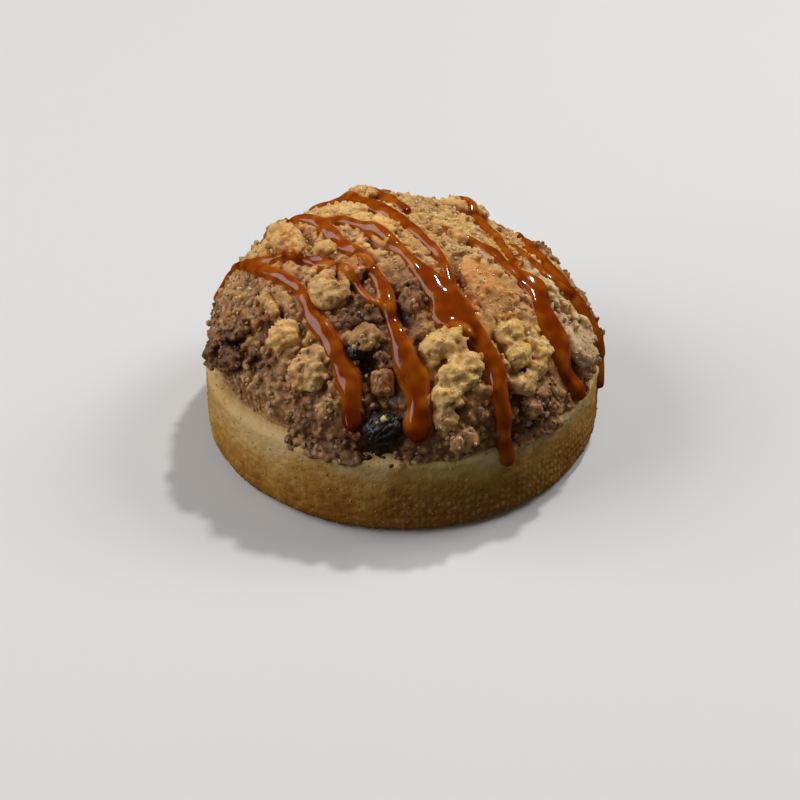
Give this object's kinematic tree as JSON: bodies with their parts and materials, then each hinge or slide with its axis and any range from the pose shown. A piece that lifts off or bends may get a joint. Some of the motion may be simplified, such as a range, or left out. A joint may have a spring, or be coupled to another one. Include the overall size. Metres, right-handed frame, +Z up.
{
  "type": "apple tart",
  "caption": "Single-portion apple tart: a straight round shortcrust shell filled and domed with crumble, raisins and apple showing, caramel drizzled over in thick ribbons.",
  "frame": {"origin": "centre of the shell's flat underside, on the surface that the tart stands on", "axes": "+Z up, the front that the picture shows towards -Y, +X to the right seen from the front"},
  "size_m": [0.0917, 0.0901, 0.0536],
  "materials": {
    "shortcrust": "matte, baked shortcrust pastry with fine pores",
    "crumble": "matte baked crumble, with glossy caramel on it",
    "raisin": "dark, wrinkled, half gloss",
    "apple": "cooked and glazed, half gloss"
  },
  "bodies": {
    "root": {"shell": "shortcrust", "crumble": "crumble", "raisin_1": "raisin", "raisin_2": "raisin", "raisin_3": "raisin", "apple_cube_1": "apple", "apple_cube_2": "apple"}
  },
  "joints": []
}
